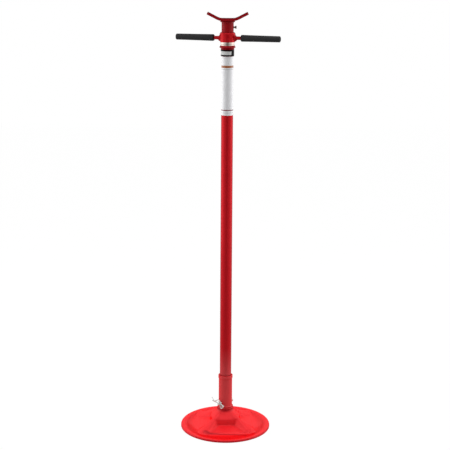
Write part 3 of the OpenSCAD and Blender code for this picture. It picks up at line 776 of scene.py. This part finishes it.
class STAND_OT_finishes(bpy.types.Operator):
    """Gives each CAD node its finish"""

    bl_idname = "stand.finishes"
    bl_label = "Finishes"

    def execute(self, context):
        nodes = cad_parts
        finishes = {
            base_paint: ("base_plate",),
            socket_paint: ("base_socket",),
            column_paint: ("column_tube",),
            cap_paint: ("column_cap",),
            header_film: ("header_label",),
            wrap_film: ("label_wrap",),
            bearing_steel: ("bearing_lower_race", "bearing_upper_race"),
            cage_brass: ("bearing_cage",),
            ball_steel: ("bearing_balls",),
            hub_paint: ("spin_hub",),
            rod_paint: ("handle_rod_left", "handle_rod_right"),
            grip_rubber: ("grip_left", "grip_right"),
            screw_steel: ("spindle", "stop_collar", "stop_pin"),
            saddle_paint: ("saddle_plate", "saddle_sleeve"),
            black_steel: ("set_bolt",),
        }
        for make, names in finishes.items():
            material = make()
            for name in names:
                dress(nodes[name], material)
        dress(nodes["base_pin"], zinc("pin_zinc", roughness=0.34))
        dress(nodes["hairpin_clip"], zinc("spring_wire_zinc", roughness=0.20))
        return {"FINISHED"}


class STAND_OT_base_skin(bpy.types.Operator):
    """Makes the smooth pressed skin of the base plate"""

    bl_idname = "stand.base_skin"
    bl_label = "Base skin"

    def execute(self, context):
        skin("base_plate", "base_skin", "stand", "red_paint", loose=0.02 * MM, angle=35)
        return {"FINISHED"}


class STAND_OT_clip(bpy.types.Operator):
    """Makes the smooth spring wire of the clip"""

    bl_idname = "stand.clip"
    bl_label = "Clip"

    def execute(self, context):
        skin("hairpin_clip", "clip_wire", "lock_clip", "zinc", loose=0.005 * MM, angle=60)
        return {"FINISHED"}


class STAND_OT_spindle(bpy.types.Operator):
    """Cuts the lifting thread of the spindle"""

    bl_idname = "stand.spindle"
    bl_label = "Spindle thread"

    def execute(self, context):
        own = sizes()
        low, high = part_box("spindle")
        bolt_low, bolt_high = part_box("set_bolt")
        radius = (high.x - low.x) / 2
        depth = own.thread_depth
        root = radius - depth
        chamfer = own.screw_chamfer
        bolt = (bolt_low.z + bolt_high.z) / 2
        groove_foot = bolt - own.groove_height / 2
        groove_top = bolt + own.groove_height / 2
        groove_floor = radius - own.groove_depth
        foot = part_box("stop_collar")[1].z + own.thread_gap
        pitch = own.thread_pitch
        turns = int((groove_foot - own.thread_gap - foot) / pitch)
        core_foot = foot + pitch
        core_top = foot + turns * pitch
        outline = profile(
            (0.0, low.z), (radius - chamfer, low.z), (radius, low.z + chamfer),
            (radius, core_foot), (root, core_foot + depth), (root, core_top - depth), (radius, core_top),
            (radius, groove_foot), (groove_floor, groove_foot),
            (groove_floor, groove_top), (radius, groove_top),
            (radius, high.z - chamfer), (radius - chamfer, high.z), (0.0, high.z),
        )
        shaft = turned(outline, steps=48)
        ridge = thread(root, radius - own.thread_inset, pitch, foot, turns, steps=32)
        screw = joined(shaft, ridge)
        smooth(screw, angle=30)
        keep(screw, "lifting_screw", "screw", "screw_steel", finish_of("spindle"), "spindle")
        return {"FINISHED"}


class STAND_OT_bolt(bpy.types.Operator):
    """Makes the threaded set bolt with its rounded hexagon head"""

    bl_idname = "stand.bolt"
    bl_label = "Set bolt"

    def execute(self, context):
        own = sizes()
        low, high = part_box("set_bolt")
        flats = high.y - low.y
        crest = own.bolt_width / 2
        root = crest - own.bolt_depth
        shank = high.x - low.x - own.bolt_head
        pitch = own.bolt_pitch
        rod = turned(profile((0.0, 0.0), (root, 0.0), (root, shank), (0.0, shank)), steps=32)
        ridge = thread(root, crest, pitch, 0.5 * pitch, int(shank / pitch) - 1, steps=24)
        pick()
        bpy.ops.mesh.primitive_cylinder_add(
            vertices=6, radius=flats / 2, depth=own.bolt_head, location=(0.0, 0.0, shank + own.bolt_head / 2)
        )
        head = bpy.context.object
        rounded(head, own.bolt_round, angle=50)
        bolt = joined(rod, ridge, head)
        bpy.ops.transform.rotate(value=radians(-90), orient_axis="Y", center_override=(0.0, 0.0, 0.0))
        bpy.ops.transform.translate(value=(low.x, 0.0, (low.z + high.z) / 2))
        settle(bolt)
        smooth(bolt, angle=35)
        keep(bolt, "threaded_set_bolt", "sleeve_bolt", "zinc", finish_of("set_bolt"), "set_bolt")
        return {"FINISHED"}


class STAND_OT_welds(bpy.types.Operator):
    """Lays the rippled weld beads of the saddle, the rods and the socket"""

    bl_idname = "stand.welds"
    bl_label = "Welds"

    def execute(self, context):
        self.saddle(sizes())
        self.rods(sizes())
        self.socket(sizes())
        return {"FINISHED"}

    def saddle(self, own):
        """The bead between the sleeve and the saddle's plate."""
        low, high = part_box("saddle_sleeve")
        ring = (high.x - low.x) / 2 - own.saddle_bead_inset
        weld = bead(high.z - own.saddle_bead_drop, ring, own.bead)
        keep(weld, "saddle_bead", "saddle", "red_paint", finish_of("saddle_sleeve"))

    def rods(self, own):
        """The beads between the hub and the two rods."""
        low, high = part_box("handle_rod_right")
        middle = (low + high) / 2
        ring = (high.z - low.z) / 2 + own.rod_bead_gap
        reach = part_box("spin_hub")[1].y + own.rod_bead_out
        along = Vector((middle.x, middle.y, 0.0)).normalized()
        for side, name in ((1, "rod_bead_right"), (-1, "rod_bead_left")):
            place = side * reach * along.xy
            aim = (side * along).to_track_quat("Z", "Y").to_euler()
            weld = bead(middle.z, ring, own.rod_bead, place, aim)
            keep(weld, name, "handle", "red_paint", finish_of("spin_hub"))

    def socket(self, own):
        """The bead between the neck of the base and the socket."""
        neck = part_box("base_plate")[1].z
        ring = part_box("base_socket")[1].x - own.socket_bead_inset
        weld = bead(neck + own.socket_bead_rise, ring, own.bead)
        keep(weld, "socket_bead", "stand", "red_paint", finish_of("base_plate"))


class STAND_OT_saddle(bpy.types.Operator):
    """Rounds the sheared edges of the saddle's plate"""

    bl_idname = "stand.saddle"
    bl_label = "Saddle plate"

    def execute(self, context):
        edge = sizes().saddle_round
        skin("saddle_plate", "saddle_skin", "saddle", "red_paint", loose=0.01 * MM, angle=40, edge=edge)
        return {"FINISHED"}


class STAND_PT_panel(bpy.types.Panel):
    """Lists the steps that dress the stand"""

    bl_idname = "STAND_PT_panel"
    bl_label = "Underhoist stand"
    bl_space_type = "VIEW_3D"
    bl_region_type = "UI"
    bl_category = "Stand"

    def draw(self, context):
        for step in STEPS:
            self.layout.operator(step.bl_idname)
        for name, group in GROUPS:
            box = self.layout.box()
            for value in group.__annotations__:
                box.prop(getattr(context.scene, name), value)


STEPS = (
    STAND_OT_stage,
    STAND_OT_finishes,
    STAND_OT_base_skin,
    STAND_OT_clip,
    STAND_OT_spindle,
    STAND_OT_bolt,
    STAND_OT_welds,
    STAND_OT_saddle,
)
GROUPS = (
    ("stand_sizes", StandSizes),
    ("stand_finishes", StandFinishes),
    ("stand_stage", StandStage),
)


def register():
    """Makes the sizes, colours, steps and panel known to Blender."""
    for name, group in GROUPS:
        bpy.utils.register_class(group)
        setattr(bpy.types.Scene, name, PointerProperty(type=group))
    for step in STEPS:
        bpy.utils.register_class(step)
    bpy.utils.register_class(STAND_PT_panel)


def unregister():
    """Takes all of it away again."""
    bpy.utils.unregister_class(STAND_PT_panel)
    for step in reversed(STEPS):
        bpy.utils.unregister_class(step)
    for name, group in reversed(GROUPS):
        delattr(bpy.types.Scene, name)
        bpy.utils.unregister_class(group)


def main():
    """Runs every step in order."""
    register()
    bpy.ops.stand.stage()
    bpy.ops.stand.finishes()
    bpy.ops.stand.base_skin()
    bpy.ops.stand.clip()
    bpy.ops.stand.spindle()
    bpy.ops.stand.bolt()
    bpy.ops.stand.welds()
    bpy.ops.stand.saddle()


if __name__ == "__main__":
    main()
